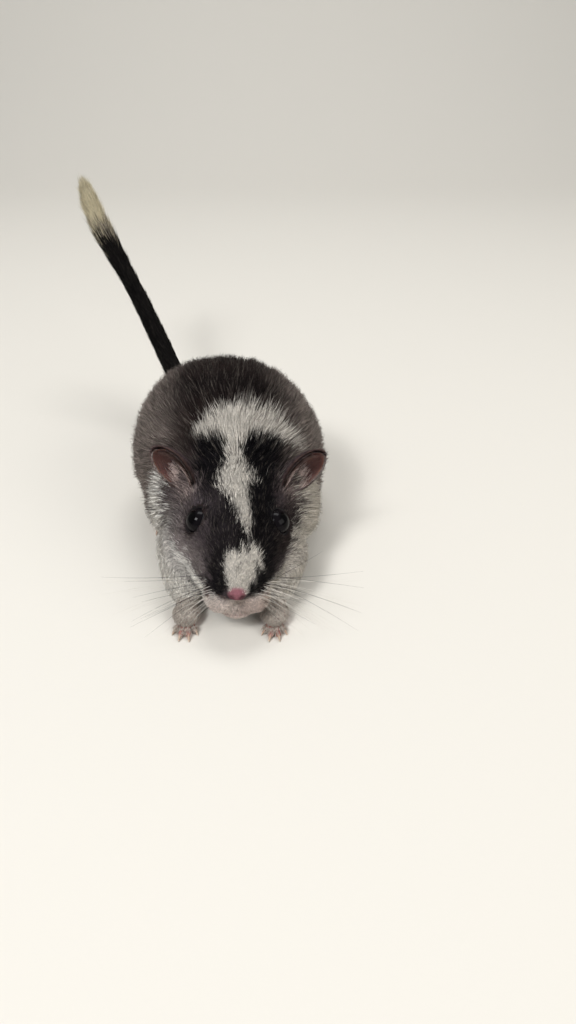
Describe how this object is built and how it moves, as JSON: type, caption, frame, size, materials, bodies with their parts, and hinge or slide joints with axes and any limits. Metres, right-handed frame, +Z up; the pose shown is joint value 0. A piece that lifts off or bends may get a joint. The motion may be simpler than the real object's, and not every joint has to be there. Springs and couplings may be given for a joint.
{
  "type": "gerbil",
  "caption": "Life-size still model of a crouching gerbil with its head low and its furred tail raised behind it.",
  "frame": {"origin": "on the floor, under the middle of the box round the whole animal", "axes": "+Z up, -Y the way the animal faces, +X towards its own left side"},
  "size_m": [0.085, 0.1528, 0.0749],
  "materials": {
    "coat_dark": "short dense fur, dark grey-brown with pale tips",
    "coat_face": "very short fur, dark with a white blaze",
    "coat_white": "short dense fur, off-white",
    "coat_tail": "short black fur",
    "coat_tip": "longer cream fur",
    "ear_skin": "thin bare skin with fine down",
    "paw_skin": "bare pink skin",
    "eye_black": "wet black eye"
  },
  "bodies": {
    "root": {"head": "coat_face", "neck": "coat_white", "torso": "coat_dark", "ear_left": "ear_skin", "ear_right": "ear_skin", "eye_left": "eye_black", "eye_right": "eye_black", "foreleg_left": "coat_white", "foreleg_right": "coat_white", "forepaw_left": "paw_skin", "forepaw_right": "paw_skin", "hind_leg_left": "coat_dark", "hind_leg_right": "coat_dark", "hind_foot_left": "paw_skin", "hind_foot_right": "paw_skin", "tail_base": "coat_tail", "tail_middle": "coat_tail", "tail_tuft": "coat_tip"}
  },
  "joints": []
}
